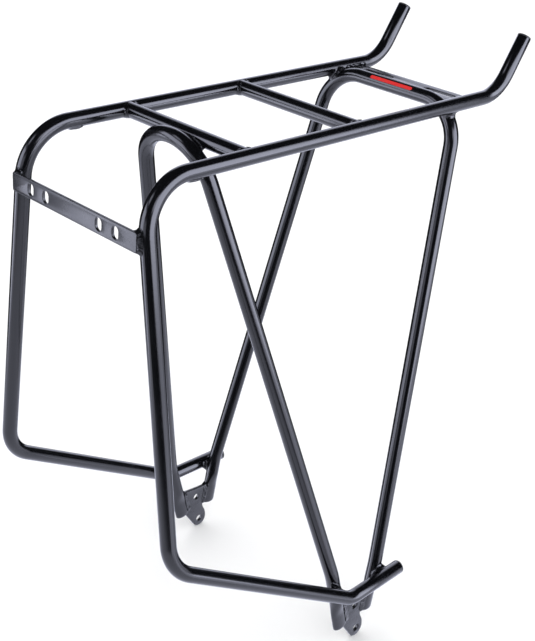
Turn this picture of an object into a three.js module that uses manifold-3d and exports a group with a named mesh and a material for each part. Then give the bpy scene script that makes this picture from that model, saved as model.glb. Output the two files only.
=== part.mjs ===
// Rear rack for a bicycle: a weldment of bent 10 mm steel tubes with plate dropouts.
//
// Millimetres. +X is the rack's right, +Y is forward, +Z is up.
// The origin lies midway between the two lower eyelets, on the line through their centres.

import * as THREE from 'three';
import { mergeVertices } from 'three/addons/utils/BufferGeometryUtils.js';
import Module from 'manifold-3d';

const wasm = await Module();
wasm.setup();

// ---------------------------------------------------------------------------
// Driving dimensions
// ---------------------------------------------------------------------------

const TUBE_RADIUS = 5;
const TUBE_WALL = 1;
const FIT_GAP = 0.3; // clearance between neighbouring solids

// Side rails: horn, level platform rail, rear leg, lower rail, level front end.
const RAIL_HALF_SPACING = 55;
const PLATFORM_HEIGHT = 378;
const HORN_BEND_Y = 133.1;
const HORN_LENGTH = 46;
const HORN_RISE = THREE.MathUtils.degToRad(57.3);
const REAR_BEND_Y = -184;
const LEG_FOOT = { x: 85, y: -181.4, z: 140.5 };
const KINK = { x: 98.5, y: -22.8, z: 45.1 };
const LOWER_FRONT = { x: 97.2, y: 31.4 };
const HORN_BEND_RADIUS = 30;
const REAR_BEND_RADIUS = 30;
const FOOT_BEND_RADIUS = 32;
const KINK_RADIUS = 21;

// Hoops: the upper legs splay outward, the lower legs stand in the dropout plane.
const DROPOUT_X = 87.4;
const REAR_HOOP = {
  cornerX: 25.2,
  cornerY: -119.4,
  cornerZ: 378,
  cornerRadius: 30,
  kneeY: -32.2,
  kneeZ: 62.6,
  endY: -17,
  endZ: 10.3,
};
const FRONT_HOOP = {
  cornerX: 57.7,
  cornerY: 85.1,
  cornerZ: 377.5,
  cornerRadius: 30,
  kneeY: 15.5,
  kneeZ: 52.2,
  endY: 9,
  endZ: 12.5,
};
const KNEE_RADIUS = 60;

// Flattened lower ends of the hoop legs.
const FLAT_THINNER = 1.8; // taken off each face
const FLAT_WIDER = 1.5; // added to each edge
const FLAT_LENGTH = 14;
const FLAT_BLEND = 14;
const END_ROUNDING = 4;
const END_NARROWING = 2.2;

// Cross tubes between the rails.
const REAR_CROSS_Y = -108.2;
const MIDDLE_CROSS_Y = -11.9;

// Plate behind the horns with two long slots for the stays to the frame.
const STAY_PLATE = { rearY: 89, frontY: 111, topZ: 377.5, thickness: 2 };
const STAY_SLOT = { centreX: 28.3, centreY: 102.4, length: 27.5, width: 5.6 };

// Plate across the rear legs with the 50 mm and 80 mm slot pairs for a lamp.
const LIGHT_PLATE = { halfLength: 58.6, height: 12, centreZ: 346, rearY: -191.4, thickness: 2 };
const LIGHT_SLOT = { pitches: [50, 80], width: 5.5, height: 8 };

// Dropout plates between the lower leg ends.
const DROPOUT_THICKNESS = 3;
const EYELET_HOLE_RADIUS = 3;
const EYELET_RING_RADIUS = 6.6;
const UPPER_HOLE = { y: -4.2, z: 22.7, radius: 2.75 };

// Stops under the rails for the pannier hooks: small wedges with a steep front.
const STOP_LUG = { rearY: -154, frontY: -145.5, depth: 1.1, rearDepth: 0.5, width: 3.6 };

// Painted film stripe along the rear of the front hoop's bar, turned up from the level.
const STRIPE = { centreX: 1, length: 38, width: 2.6, thickness: 0.4 };
const STRIPE_TURN = THREE.MathUtils.degToRad(43);

// Plugs in the open tube ends.
const PLUG = { capThickness: 1.2, capRadius: 5, stemRadius: 3.3, stemLength: 9, edge: 0.5 };

// Weld beads fill the corner between two pieces up to this far from both: thin at the
// cross tubes, dropouts and arch, broad where the hoops meet the rails.
const BEAD_REACH = { thin: 1.2, wide: 1.8, broad: 2.6 };
const CROSS_WELD_TOP = 4.2; // height of the cross tubes' welds above the tubes' axes
const DROPOUT_WELD_FOOT = 14.5; // height of the dropout welds' lower ends
const BAR_WELD_HALF = 36; // half length of the bead along the front hoop's bar

// Facets: segments round a tube, round its bore, and per bend.
const TUBE_SIDES = 12;
const BORE_SIDES = 8;
const BEND_STEP = THREE.MathUtils.degToRad(13);

// ---------------------------------------------------------------------------
// Materials
// ---------------------------------------------------------------------------

const coat = { color: 0x17181b, roughness: 0.3, metalness: 0.35 };
const paint = () => new THREE.MeshStandardMaterial(coat);
const platePaint = () => new THREE.MeshStandardMaterial({ ...coat, color: 0x1c1d21 });
const weldPaint = () => new THREE.MeshStandardMaterial({ ...coat, roughness: 0.36 });
const film = () => new THREE.MeshStandardMaterial({ color: 0xb3261e, roughness: 0.4 });
const plastic = () =>
  new THREE.MeshStandardMaterial({ color: 0x101012, roughness: 0.6, metalness: 0 });

// ---------------------------------------------------------------------------
// Paths and tubes
// ---------------------------------------------------------------------------

// A path of straights joined by arcs. Its stations lie only where the direction changes
// and at the extra distances asked for near both ends.
class BentPath extends THREE.Curve {
  constructor(corners, radii, endDistances = []) {
    super();
    this.stations = [];
    const last = corners.length - 1;
    const first = corners[1].clone().sub(corners[0]).normalize();
    for (const distance of [0, ...endDistances]) {
      this.addStation(corners[0].clone().addScaledVector(first, distance), first);
    }
    for (let i = 1; i < last; i += 1) {
      this.addArc(corners[i - 1], corners[i], corners[i + 1], radii[i - 1]);
    }
    const final = corners[last].clone().sub(corners[last - 1]).normalize();
    for (const distance of [...endDistances].reverse().concat(0)) {
      this.addStation(corners[last].clone().addScaledVector(final, -distance), final);
    }
  }

  addStation(point, tangent) {
    this.stations.push({ point, tangent });
  }

  addArc(before, corner, after, radius) {
    const arriving = corner.clone().sub(before).normalize();
    const leaving = after.clone().sub(corner).normalize();
    const turn = arriving.angleTo(leaving);
    const start = corner.clone().addScaledVector(arriving, -radius * Math.tan(turn / 2));
    const axis = arriving.clone().cross(leaving).normalize();
    const centre = axis.clone().cross(arriving).multiplyScalar(radius).add(start);
    const steps = Math.max(1, Math.ceil(turn / BEND_STEP));
    for (let i = 0; i <= steps; i += 1) {
      const angle = (turn * i) / steps;
      const point = start.clone().sub(centre).applyAxisAngle(axis, angle).add(centre);
      this.addStation(point, arriving.clone().applyAxisAngle(axis, angle));
    }
  }

  get steps() {
    return this.stations.length - 1;
  }

  getPointAt(u, target = new THREE.Vector3()) {
    return target.copy(this.stations[Math.round(u * this.steps)].point);
  }

  getTangentAt(u, target = new THREE.Vector3()) {
    return target.copy(this.stations[Math.round(u * this.steps)].tangent);
  }
}

function circlePoints(radius, sides) {
  return Array.from({ length: sides }, (_, i) => {
    const angle = (2 * Math.PI * (i + 0.5)) / sides;
    return new THREE.Vector2(radius * Math.cos(angle), radius * Math.sin(angle));
  });
}

// A tube of the given radius along a path. A bore radius of 0 makes it solid.
function tubeGeometry(path, radius, bore) {
  const section = new THREE.Shape(circlePoints(radius, TUBE_SIDES));
  if (bore > 0) section.holes.push(new THREE.Path(circlePoints(bore, BORE_SIDES)));
  return new THREE.ExtrudeGeometry(section, { steps: path.steps, extrudePath: path });
}

const hollowTube = (path) => tubeGeometry(path, TUBE_RADIUS, TUBE_RADIUS - TUBE_WALL);
const grownTube = (path, margin) => tubeGeometry(path, TUBE_RADIUS + margin, 0);

// A piece grown by the fit gap, to cut its neighbours, and by each reach of a weld.
const allMargins = (grow) => ({
  clear: grow(FIT_GAP),
  thin: grow(BEAD_REACH.thin),
  wide: grow(BEAD_REACH.wide),
  broad: grow(BEAD_REACH.broad),
});

// ---------------------------------------------------------------------------
// Booleans
// ---------------------------------------------------------------------------

function toSolid(geometry) {
  const bare = geometry.clone();
  bare.deleteAttribute('normal');
  bare.deleteAttribute('uv');
  const merged = mergeVertices(bare, 1e-4);
  const mesh = new wasm.Mesh({
    numProp: 3,
    vertProperties: new Float32Array(merged.attributes.position.array),
    triVerts: new Uint32Array(merged.index.array),
  });
  return new wasm.Manifold(mesh);
}

function toGeometry(solid) {
  const mesh = solid.getMesh();
  const geometry = new THREE.BufferGeometry();
  geometry.setAttribute('position', new THREE.BufferAttribute(mesh.vertProperties, 3));
  geometry.setIndex(new THREE.BufferAttribute(mesh.triVerts, 1));
  geometry.computeVertexNormals();
  return geometry;
}

function cut(geometry, ...tools) {
  let solid = toSolid(geometry);
  for (const tool of tools) solid = solid.subtract(toSolid(tool));
  return toGeometry(solid);
}

// ---------------------------------------------------------------------------
// Tube routes (side is +1 for the right, -1 for the left)
// ---------------------------------------------------------------------------

const point = (x, y, z) => new THREE.Vector3(x, y, z);

function hornDirection() {
  return point(0, Math.cos(HORN_RISE), Math.sin(HORN_RISE));
}

// plugRoom shortens both open ends, for the plugs' caps.
function railPath(side, plugRoom) {
  const x = side * RAIL_HALF_SPACING;
  const hornBend = point(x, HORN_BEND_Y, PLATFORM_HEIGHT);
  const hornTip = hornBend.clone().addScaledVector(hornDirection(), HORN_LENGTH - plugRoom);
  const kink = point(side * KINK.x, KINK.y, KINK.z);
  const end = point(side * LOWER_FRONT.x, LOWER_FRONT.y, KINK.z);
  end.addScaledVector(end.clone().sub(kink).normalize(), -plugRoom);
  const corners = [
    hornTip,
    hornBend,
    point(x, REAR_BEND_Y, PLATFORM_HEIGHT),
    point(side * LEG_FOOT.x, LEG_FOOT.y, LEG_FOOT.z),
    kink,
    end,
  ];
  return new BentPath(corners, [HORN_BEND_RADIUS, REAR_BEND_RADIUS, FOOT_BEND_RADIUS, KINK_RADIUS]);
}

const BLEND_END = FLAT_LENGTH + FLAT_BLEND;
const FLAT_STATIONS = [1.5, END_ROUNDING, FLAT_LENGTH, FLAT_LENGTH + FLAT_BLEND / 2, BLEND_END];

function hoopPath(hoop) {
  const half = (side) => [
    point(side * DROPOUT_X, hoop.endY, hoop.endZ),
    point(side * DROPOUT_X, hoop.kneeY, hoop.kneeZ),
    point(side * hoop.cornerX, hoop.cornerY, hoop.cornerZ),
  ];
  const corners = [...half(1), ...half(-1).reverse()];
  const radii = [KNEE_RADIUS, hoop.cornerRadius, hoop.cornerRadius, KNEE_RADIUS];
  return new BentPath(corners, radii, FLAT_STATIONS);
}

// Presses the lower leg ends flat: thinner across the plate, wider along it, and rounded
// at the very end. Works on the tube, its bore and its clearance alike.
function flattenLegEnds(geometry, hoop) {
  const position = geometry.attributes.position;
  const along = point(0, hoop.kneeY - hoop.endY, hoop.kneeZ - hoop.endZ).normalize();
  const across = point(1, 0, 0);
  const sideways = across.clone().cross(along);
  const vertex = new THREE.Vector3();
  for (let i = 0; i < position.count; i += 1) {
    vertex.fromBufferAttribute(position, i);
    const side = Math.sign(vertex.x);
    const foot = point(side * DROPOUT_X, hoop.endY, hoop.endZ);
    const offset = vertex.clone().sub(foot);
    const height = offset.dot(along);
    if (height > BLEND_END + 1) continue;
    const a = offset.dot(across);
    const b = offset.dot(sideways);
    const radius = Math.hypot(a, b);
    const pressed = 1 - THREE.MathUtils.smoothstep(height, FLAT_LENGTH, BLEND_END);
    const rounding = Math.max(0, 1 - height / END_ROUNDING) ** 2;
    const thickness = radius - FLAT_THINNER * pressed - 0.4 * rounding;
    const width = radius + FLAT_WIDER * pressed - END_NARROWING * rounding;
    vertex.copy(foot).addScaledVector(along, height);
    vertex.addScaledVector(across, (a * thickness) / radius);
    vertex.addScaledVector(sideways, (b * width) / radius);
    position.setXYZ(i, vertex.x, vertex.y, vertex.z);
  }
  return geometry;
}

function crossPath(y) {
  const half = RAIL_HALF_SPACING;
  return new BentPath([point(-half, y, PLATFORM_HEIGHT), point(half, y, PLATFORM_HEIGHT)], []);
}

// ---------------------------------------------------------------------------
// Tubes
// ---------------------------------------------------------------------------

const plugRoom = PLUG.capThickness + FIT_GAP;
const railPaths = { right: railPath(1, plugRoom), left: railPath(-1, plugRoom) };
const rearHoopPath = hoopPath(REAR_HOOP);
const frontHoopPath = hoopPath(FRONT_HOOP);

const rails = {
  right: allMargins((margin) => grownTube(railPaths.right, margin)),
  left: allMargins((margin) => grownTube(railPaths.left, margin)),
};
const hoops = {
  rear: allMargins((margin) => flattenLegEnds(grownTube(rearHoopPath, margin), REAR_HOOP)),
  front: allMargins((margin) => flattenLegEnds(grownTube(frontHoopPath, margin), FRONT_HOOP)),
};
const crossTubes = {
  rear: allMargins((margin) => grownTube(crossPath(REAR_CROSS_Y), margin)),
  middle: allMargins((margin) => grownTube(crossPath(MIDDLE_CROSS_Y), margin)),
};

function rearHoopGeometry() {
  return flattenLegEnds(hollowTube(rearHoopPath), REAR_HOOP);
}

// The front hoop is notched where its corners seat under the rails.
function frontHoopGeometry() {
  const tube = flattenLegEnds(hollowTube(frontHoopPath), FRONT_HOOP);
  return cut(tube, rails.right.clear, rails.left.clear);
}

function crossTubeGeometry(y) {
  return cut(hollowTube(crossPath(y)), rails.right.clear, rails.left.clear);
}

// ---------------------------------------------------------------------------
// Plates
// ---------------------------------------------------------------------------

// An obround slot outline. Its long axis is X, or Y when upright.
function slotOutline(x, y, length, width, upright) {
  const radius = width / 2;
  const straight = (length - width) / 2;
  const outline = new THREE.Path();
  if (upright) {
    outline.absarc(x, y + straight, radius, 0, Math.PI, false);
    outline.absarc(x, y - straight, radius, Math.PI, 2 * Math.PI, false);
  } else {
    outline.absarc(x + straight, y, radius, -Math.PI / 2, Math.PI / 2, false);
    outline.absarc(x - straight, y, radius, Math.PI / 2, (3 * Math.PI) / 2, false);
  }
  outline.closePath();
  return outline;
}

function roundedRectangle(x0, y0, x1, y1, radius) {
  const shape = new THREE.Shape();
  shape.absarc(x1 - radius, y0 + radius, radius, -Math.PI / 2, 0, false);
  shape.absarc(x1 - radius, y1 - radius, radius, 0, Math.PI / 2, false);
  shape.absarc(x0 + radius, y1 - radius, radius, Math.PI / 2, Math.PI, false);
  shape.absarc(x0 + radius, y0 + radius, radius, Math.PI, (3 * Math.PI) / 2, false);
  shape.closePath();
  return shape;
}

// A margin grows the plate by that much in every direction, with chamfered edges.
function extrudePlate(shape, thickness, margin = 0) {
  return new THREE.ExtrudeGeometry(shape, {
    depth: thickness,
    bevelEnabled: margin > 0,
    bevelSize: margin,
    bevelThickness: margin,
    bevelSegments: 1,
    curveSegments: 5,
  });
}

function stayPlateBlank(margin, slots = []) {
  const half = RAIL_HALF_SPACING - TUBE_RADIUS + 1;
  const shape = new THREE.Shape([
    new THREE.Vector2(-half, STAY_PLATE.rearY),
    new THREE.Vector2(half, STAY_PLATE.rearY),
    new THREE.Vector2(half, STAY_PLATE.frontY),
    new THREE.Vector2(-half, STAY_PLATE.frontY),
  ]);
  shape.holes.push(...slots);
  const plate = extrudePlate(shape, STAY_PLATE.thickness, margin);
  plate.translate(0, 0, STAY_PLATE.topZ - STAY_PLATE.thickness);
  return plate;
}

function stayPlateGeometry() {
  const { centreX, centreY, length, width } = STAY_SLOT;
  const slots = [1, -1].map((side) => slotOutline(side * centreX, centreY, length, width, false));
  return cut(stayPlateBlank(0, slots), rails.right.clear, rails.left.clear, hoops.front.clear);
}

function lightPlateBlank(margin, slots = []) {
  const { halfLength, height, centreZ, rearY, thickness } = LIGHT_PLATE;
  const shape = roundedRectangle(-halfLength, -height / 2, halfLength, height / 2, 1.5);
  shape.holes.push(...slots);
  const plate = extrudePlate(shape, thickness, margin);
  plate.rotateX(Math.PI / 2);
  plate.translate(0, rearY + thickness, centreZ);
  return plate;
}

function lightPlateGeometry() {
  const { pitches, height, width } = LIGHT_SLOT;
  const places = pitches.flatMap((pitch) => [pitch / 2, -pitch / 2]);
  const slots = places.map((x) => slotOutline(x, 0, height, width, true));
  return cut(lightPlateBlank(0, slots), rails.right.clear, rails.left.clear);
}

// The dropout outline in the (y, z) plane: a web between the legs, with a shallow hollow
// along its top, and a tongue round the lower eyelet.
function dropoutShape() {
  const ring = EYELET_RING_RADIUS;
  const shape = new THREE.Shape();
  shape.moveTo(-19.5, 32.6);
  shape.quadraticCurveTo(-6, 30.4, 7.5, 30.4);
  shape.lineTo(3.6, 16);
  shape.quadraticCurveTo(1.8, 12.5, 4.6, 8);
  shape.quadraticCurveTo(ring, 4.6, ring, 0);
  shape.absarc(0, 0, ring, 0, THREE.MathUtils.degToRad(-158), true);
  shape.lineTo(-15, 10);
  shape.lineTo(-17, 14.5);
  shape.closePath();
  return shape;
}

function circleOutline(x, y, radius) {
  return new THREE.Path().absarc(x, y, radius, 0, 2 * Math.PI, false);
}

// Turns a plate drawn in the (y, z) plane to stand at the given x, centred on it.
function standAcrossX(geometry, x, thickness) {
  const turn = new THREE.Matrix4().makeBasis(point(0, 1, 0), point(0, 0, 1), point(1, 0, 0));
  geometry.applyMatrix4(turn);
  geometry.translate(x - thickness / 2, 0, 0);
  return geometry;
}

function dropoutBlank(side, margin, holes = []) {
  const shape = dropoutShape();
  shape.holes.push(...holes);
  const plate = extrudePlate(shape, DROPOUT_THICKNESS, margin);
  return standAcrossX(plate, side * DROPOUT_X, DROPOUT_THICKNESS);
}

function dropoutGeometry(side) {
  const holes = [
    circleOutline(0, 0, EYELET_HOLE_RADIUS),
    circleOutline(UPPER_HOLE.y, UPPER_HOLE.z, UPPER_HOLE.radius),
  ];
  return cut(dropoutBlank(side, 0, holes), hoops.rear.clear, hoops.front.clear);
}

// A wedge under the rail that deepens forward to a steep front.
function stopLugBlank(side, margin) {
  const { rearY, frontY, depth, rearDepth, width } = STOP_LUG;
  const underside = PLATFORM_HEIGHT - TUBE_RADIUS;
  const shape = new THREE.Shape();
  shape.moveTo(rearY, underside + 1.5);
  shape.lineTo(rearY, underside - rearDepth);
  shape.quadraticCurveTo(rearY + 3, underside - depth, frontY - 3, underside - depth);
  shape.quadraticCurveTo(frontY - 1, underside - depth, frontY, underside);
  shape.lineTo(frontY, underside + 1.5);
  shape.closePath();
  return standAcrossX(extrudePlate(shape, width, margin), side * RAIL_HALF_SPACING, width);
}

// A shell over part of the front hoop's bar, clear of the tube by the fit gap.
function stripeGeometry() {
  const { centreX, length, width, thickness } = STRIPE;
  const zone = new THREE.BoxGeometry(length, TUBE_RADIUS, width);
  zone.translate(0, -TUBE_RADIUS, 0);
  zone.rotateX(-STRIPE_TURN);
  zone.translate(centreX, FRONT_HOOP.cornerY, FRONT_HOOP.cornerZ);
  const outer = grownTube(frontHoopPath, FIT_GAP + thickness);
  const shell = toSolid(outer).intersect(toSolid(zone)).subtract(toSolid(hoops.front.clear));
  return toGeometry(shell);
}

// ---------------------------------------------------------------------------
// Plugs
// ---------------------------------------------------------------------------

// A plug with its axis along +Y in its own frame: the cap's outer face is at y = 0.
function plugGeometry() {
  const { capThickness, capRadius, stemRadius, stemLength, edge } = PLUG;
  const profile = [
    new THREE.Vector2(0, -capThickness - stemLength),
    new THREE.Vector2(stemRadius - edge, -capThickness - stemLength),
    new THREE.Vector2(stemRadius, -capThickness - stemLength + edge),
    new THREE.Vector2(stemRadius, -capThickness),
    new THREE.Vector2(capRadius, -capThickness),
    new THREE.Vector2(capRadius, -edge),
    new THREE.Vector2(capRadius - edge, 0),
    new THREE.Vector2(0, 0),
  ];
  return new THREE.LatheGeometry(profile, TUBE_SIDES);
}

// ---------------------------------------------------------------------------
// Weld beads
// ---------------------------------------------------------------------------

// The bead between two pieces: what lies within reach of both and clear of both. Each
// piece is given with all its margins. The zone, where given, is a box round the bead.
function weldGeometry(a, b, { reaches = ['wide', 'wide'], zone, clearOf = [] } = {}) {
  let solid = toSolid(a[reaches[0]]).intersect(toSolid(b[reaches[1]]));
  if (zone) solid = solid.intersect(toSolid(zone));
  for (const tool of [a.clear, b.clear, ...clearOf]) solid = solid.subtract(toSolid(tool));
  return toGeometry(solid);
}

function boxBetween(low, high) {
  const size = high.clone().sub(low);
  const middle = low.clone().add(high).multiplyScalar(0.5);
  return new THREE.BoxGeometry(size.x, size.y, size.z).translate(middle.x, middle.y, middle.z);
}

// ---------------------------------------------------------------------------
// Assembly
// ---------------------------------------------------------------------------

const rack = new THREE.Group();

function addPiece(name, geometry, material) {
  const mesh = new THREE.Mesh(geometry, material);
  mesh.name = name;
  rack.add(mesh);
  return mesh;
}

const sides = [
  { word: 'right', sign: 1 },
  { word: 'left', sign: -1 },
];

for (const { word } of sides) addPiece(`rail_${word}`, hollowTube(railPaths[word]), paint());
addPiece('rear_hoop', rearHoopGeometry(), paint());
addPiece('front_hoop', frontHoopGeometry(), paint());
addPiece('rear_cross_tube', crossTubeGeometry(REAR_CROSS_Y), paint());
addPiece('middle_cross_tube', crossTubeGeometry(MIDDLE_CROSS_Y), paint());
addPiece('stay_plate', stayPlateGeometry(), platePaint());
addPiece('light_plate', lightPlateGeometry(), platePaint());

addPiece('bar_stripe', stripeGeometry(), film());

for (const { word, sign } of sides) {
  addPiece(`dropout_${word}`, dropoutGeometry(sign), platePaint());
  addPiece(`stop_lug_${word}`, cut(stopLugBlank(sign, 0), rails[word].clear), platePaint());
}

// Plugs in the horn tips and in the front ends of the lower rails.
for (const { word, sign } of sides) {
  const horn = addPiece(`horn_plug_${word}`, plugGeometry(), plastic());
  const hornBend = point(sign * RAIL_HALF_SPACING, HORN_BEND_Y, PLATFORM_HEIGHT);
  horn.position.copy(hornBend).addScaledVector(hornDirection(), HORN_LENGTH);
  horn.quaternion.setFromUnitVectors(point(0, 1, 0), hornDirection());

  const lower = addPiece(`lower_plug_${word}`, plugGeometry(), plastic());
  const kink = point(sign * KINK.x, KINK.y, KINK.z);
  const end = point(sign * LOWER_FRONT.x, LOWER_FRONT.y, KINK.z);
  lower.position.copy(end);
  lower.quaternion.setFromUnitVectors(point(0, 1, 0), end.clone().sub(kink).normalize());
}

// Welds on each side.
const plates = { stay: allMargins(stayPlateBlank), light: allMargins(lightPlateBlank) };
const stayWeldRear = FRONT_HOOP.cornerY + TUBE_RADIUS + BEAD_REACH.wide + FIT_GAP;
const crossTop = PLATFORM_HEIGHT + CROSS_WELD_TOP;
const thin = ['thin', 'thin'];
const broad = ['broad', 'broad'];

for (const { word, sign } of sides) {
  const rail = rails[word];
  const dropout = allMargins((margin) => dropoutBlank(sign, margin));
  const lug = allMargins((margin) => stopLugBlank(sign, margin));
  const crossZone = boxBetween(point(-80, -130, 350), point(80, 20, crossTop));
  const stayZone = boxBetween(point(-80, stayWeldRear, 350), point(80, 130, 400));
  const hoopZone = boxBetween(point(-80, 40, 340), point(80, stayWeldRear - FIT_GAP, 400));
  const legZone = boxBetween(point(-120, -20, 20), point(120, 45, 80));
  const dropoutZone = boxBetween(point(-100, -40, DROPOUT_WELD_FOOT), point(100, 20, 40));
  const onDropout = { reaches: ['thin', 'wide'], zone: dropoutZone };
  const seams = {
    rear_cross: weldGeometry(rail, crossTubes.rear, { reaches: thin, zone: crossZone }),
    middle_cross: weldGeometry(rail, crossTubes.middle, { reaches: thin, zone: crossZone }),
    front_hoop: weldGeometry(rail, hoops.front, {
      reaches: broad,
      zone: hoopZone,
      clearOf: [plates.stay.clear],
    }),
    stay_plate: weldGeometry(rail, plates.stay, { zone: stayZone, clearOf: [hoops.front.clear] }),
    light_plate: weldGeometry(rail, plates.light),
    rear_leg: weldGeometry(rail, hoops.rear, { reaches: broad }),
    front_leg: weldGeometry(rail, hoops.front, { reaches: broad, zone: legZone }),
    dropout_rear: weldGeometry(dropout, hoops.rear, onDropout),
    dropout_front: weldGeometry(dropout, hoops.front, onDropout),
    stop_lug: weldGeometry(rail, lug, { reaches: thin }),
  };
  for (const [seam, bead] of Object.entries(seams)) {
    addPiece(`weld_${seam}_${word}`, bead, weldPaint());
  }
}

// Welds on the centre line: the rear hoop's arch against its cross tube, and the stay
// plate against the front hoop's bar.
addPiece('weld_arch', weldGeometry(hoops.rear, crossTubes.rear, { reaches: thin }), weldPaint());
const stayTop = STAY_PLATE.topZ;
const barZone = boxBetween(point(-BAR_WELD_HALF, 60, stayTop), point(BAR_WELD_HALF, 120, stayTop + 10));
addPiece('weld_stay_plate_bar', weldGeometry(hoops.front, plates.stay, { zone: barZone }), weldPaint());

export default rack;
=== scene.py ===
"""Visual model of a rear bicycle rack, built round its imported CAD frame.

Shapes are drawn in millimetres and turned into metres when their meshes are made. +X is
the rack's right, +Y is forward and +Z is up. The origin lies midway between the lower
eyelets. The driving dimensions follow the CAD model's, and each piece is compared with
the box of the node it stands for.
"""

import math

import bmesh
import bpy
from mathutils import Matrix, Vector, noise
from mathutils.bvhtree import BVHTree


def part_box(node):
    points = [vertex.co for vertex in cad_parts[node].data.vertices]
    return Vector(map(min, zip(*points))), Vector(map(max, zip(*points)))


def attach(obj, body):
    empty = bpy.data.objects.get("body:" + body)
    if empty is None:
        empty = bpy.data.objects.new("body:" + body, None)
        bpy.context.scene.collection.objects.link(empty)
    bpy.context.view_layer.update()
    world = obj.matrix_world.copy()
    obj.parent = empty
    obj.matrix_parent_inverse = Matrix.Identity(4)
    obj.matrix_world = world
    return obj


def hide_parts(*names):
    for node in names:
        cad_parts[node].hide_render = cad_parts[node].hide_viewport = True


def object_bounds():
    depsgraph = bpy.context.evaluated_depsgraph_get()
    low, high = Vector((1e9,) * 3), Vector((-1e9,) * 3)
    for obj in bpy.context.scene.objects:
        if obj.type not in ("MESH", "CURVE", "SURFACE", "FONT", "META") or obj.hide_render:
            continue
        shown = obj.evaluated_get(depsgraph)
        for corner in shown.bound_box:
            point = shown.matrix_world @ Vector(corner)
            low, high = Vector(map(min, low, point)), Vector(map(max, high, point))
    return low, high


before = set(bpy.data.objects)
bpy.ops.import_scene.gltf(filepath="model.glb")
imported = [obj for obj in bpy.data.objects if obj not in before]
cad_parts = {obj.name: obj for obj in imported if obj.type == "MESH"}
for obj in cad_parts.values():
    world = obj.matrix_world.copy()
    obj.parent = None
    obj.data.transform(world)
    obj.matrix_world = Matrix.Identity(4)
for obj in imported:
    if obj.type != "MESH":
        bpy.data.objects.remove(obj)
cad_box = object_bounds()

MM = 0.001
MERGED = 1e-6  # points closer than this, in metres, become one
SHEET_MERGED = 2e-6
SIDES = {"right": 1, "left": -1}

# ---------------------------------------------------------------------------
# Driving dimensions, as in the CAD model
# ---------------------------------------------------------------------------

TUBE_RADIUS = 5.0
TUBE_WALL = 1.0

# Rails: from the horn over the platform, down the rear leg and along the lower rail.
RAIL_X = 55.0
PLATFORM_Z = 378.0
HORN_BEND_Y = 133.1
HORN_LENGTH = 46.0
HORN_RISE = math.radians(57.3)
REAR_BEND_Y = -184.0
LEG_FOOT = Vector((85, -181.4, 140.5))
KINK = Vector((98.5, -22.8, 45.1))
LOWER_FRONT = Vector((97.2, 31.4, 45.1))
RAIL_RADII = [30.0, 30.0, 32.0, 21.0]

# Hoops: the corner is above in (x, y, z), the knee and the end are in (y, z) at DROPOUT_X.
DROPOUT_X = 87.4
REAR_HOOP = {
    "corner": (25.2, -119.4, 378.0),
    "knee": (-32.2, 62.6),
    "end": (-17.0, 10.3),
    "arch": 30.0,
}
FRONT_HOOP = {
    "corner": (57.7, 85.1, 377.5),
    "knee": (15.5, 52.2),
    "end": (9.0, 12.5),
    "arch": 30.0,
}
KNEE_RADIUS = 60.0

# The hoops' lower ends: pressed thinner and wider over the flat, then rounded at the tip.
FLAT_THINNER = 1.8
FLAT_WIDER = 1.5
FLAT_LENGTH = 14.0
FLAT_BLEND = 14.0
END_ROUNDING = 2.4
END_NARROWING = 1.3
END_THINNING = 0.4
LEG_RINGS = [2 + 1.3 * i for i in range(22)]  # closer rings along the pressed length

REAR_CROSS_Y = -108.2
MIDDLE_CROSS_Y = -11.9
COPE_TIP = 1.5  # the cope's sharp tips stop this far short of the rail's middle
COPE_BITE = 0.15  # how far the coped ends reach into the rails

STAY_PLATE = {"rear": 89.6, "front": 111.0, "top": 377.5, "thick": 2.0, "into_rail": 0.8}
STAY_SLOT = {"x": 28.3, "y": 102.4, "length": 27.5, "width": 5.6}
LIGHT_PLATE = {
    "half": 58.6,
    "height": 12.0,
    "z": 346.0,
    "rear": -191.4,
    "thick": 2.0,
    "corner": 1.5,
}
LIGHT_SLOT = {"pitches": (50.0, 80.0), "width": 5.5, "height": 8.0}

DROPOUT_THICKNESS = 3.0
EYELET_RING = 6.6
EYELET_HOLE = 3.0
UPPER_HOLE = {"y": -4.2, "z": 22.7, "radius": 2.75}
STOP_LUG = {
    "rear": -153.0,
    "front": -145.3,
    "depth": 0.8,
    "rear_depth": 0.3,
    "width": 3.4,
    "root": 1.2,  # how far it reaches into the rail
    "slope": 3.0,  # length of the curved underside at each end
    "nose": 1.0,  # how far behind the front it starts to rise
}

STRIPE = {"x": 1.0, "length": 38.0, "width": 2.6, "lift": 0.06, "root": 0.15}
STRIPE_TURN = math.radians(43)
STRIPE_STEPS = 10

PLUG_CAP = 1.2
PLUG_RIM = TUBE_RADIUS - 0.04
PLUG_ROOM = PLUG_CAP + 0.05  # what the tube leaves free for the cap

# Radii of the sheet pieces' softened edges.
PLATE_EDGE = 0.35
DROPOUT_EDGE = 0.4
LUG_EDGE = 0.5
EDGE_STEPS = 3

ROUND_STEPS = 48  # facets round a tube
ARC_STEP = math.radians(3)
CORNER_STEPS = 6
SLOT_STEPS = 14
HOLE_STEPS = 36
CURVE_STEPS = 10
RING_STEPS = 24

# How far a piece may leave its CAD node's box.
BOX_LIMIT = 1.2
BEAD_BOX_LIMIT = 2.2


# ---------------------------------------------------------------------------
# Meshes
# ---------------------------------------------------------------------------


def new_object(name, data):
    piece = bpy.data.objects.new(name, data)
    bpy.context.scene.collection.objects.link(piece)
    return piece


def shade(mesh, sharp_angle=40):
    mesh.shade_smooth()
    mesh.set_sharp_from_angle(angle=math.radians(sharp_angle))


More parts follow.
